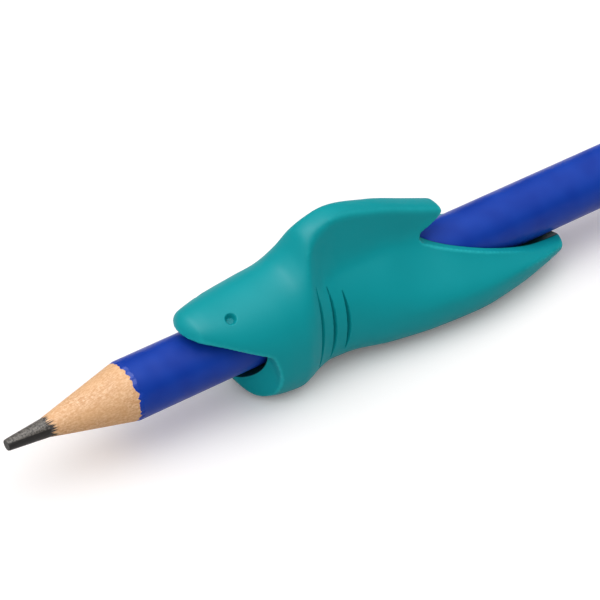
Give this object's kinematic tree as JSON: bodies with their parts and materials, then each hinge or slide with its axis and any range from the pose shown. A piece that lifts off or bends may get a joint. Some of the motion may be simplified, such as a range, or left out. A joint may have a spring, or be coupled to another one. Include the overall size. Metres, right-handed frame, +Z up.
{
  "type": "pencil grip",
  "caption": "Soft shark-shaped grip with a dorsal fin and open mouth, slid onto a round sharpened pencil; the pencil slides through its bore.",
  "frame": {"origin": "on the surface that the grip's belly rests on, under the middle of the pencil's length", "axes": "+X along the pencil, from its point to its plain end; +Z up, the way the shark's fin points"},
  "size_m": [0.14, 0.015, 0.0204],
  "materials": {
    "grip_rubber": "matte moulded",
    "cedar": "sharpened, bare",
    "graphite": "dull, slightly shiny",
    "blue_lacquer": "satin"
  },
  "bodies": {
    "grip": {"shark_grip": "grip_rubber"},
    "pencil": {"casing_upper": "cedar", "casing_lower": "cedar", "lead": "graphite", "lacquer": "blue_lacquer"}
  },
  "joints": [
    {"name": "pencil_slide", "type": "slide", "parent": "grip", "child": "pencil", "axis": [1, 0, 0], "range_m": [-0.06, 0.012]}
  ]
}
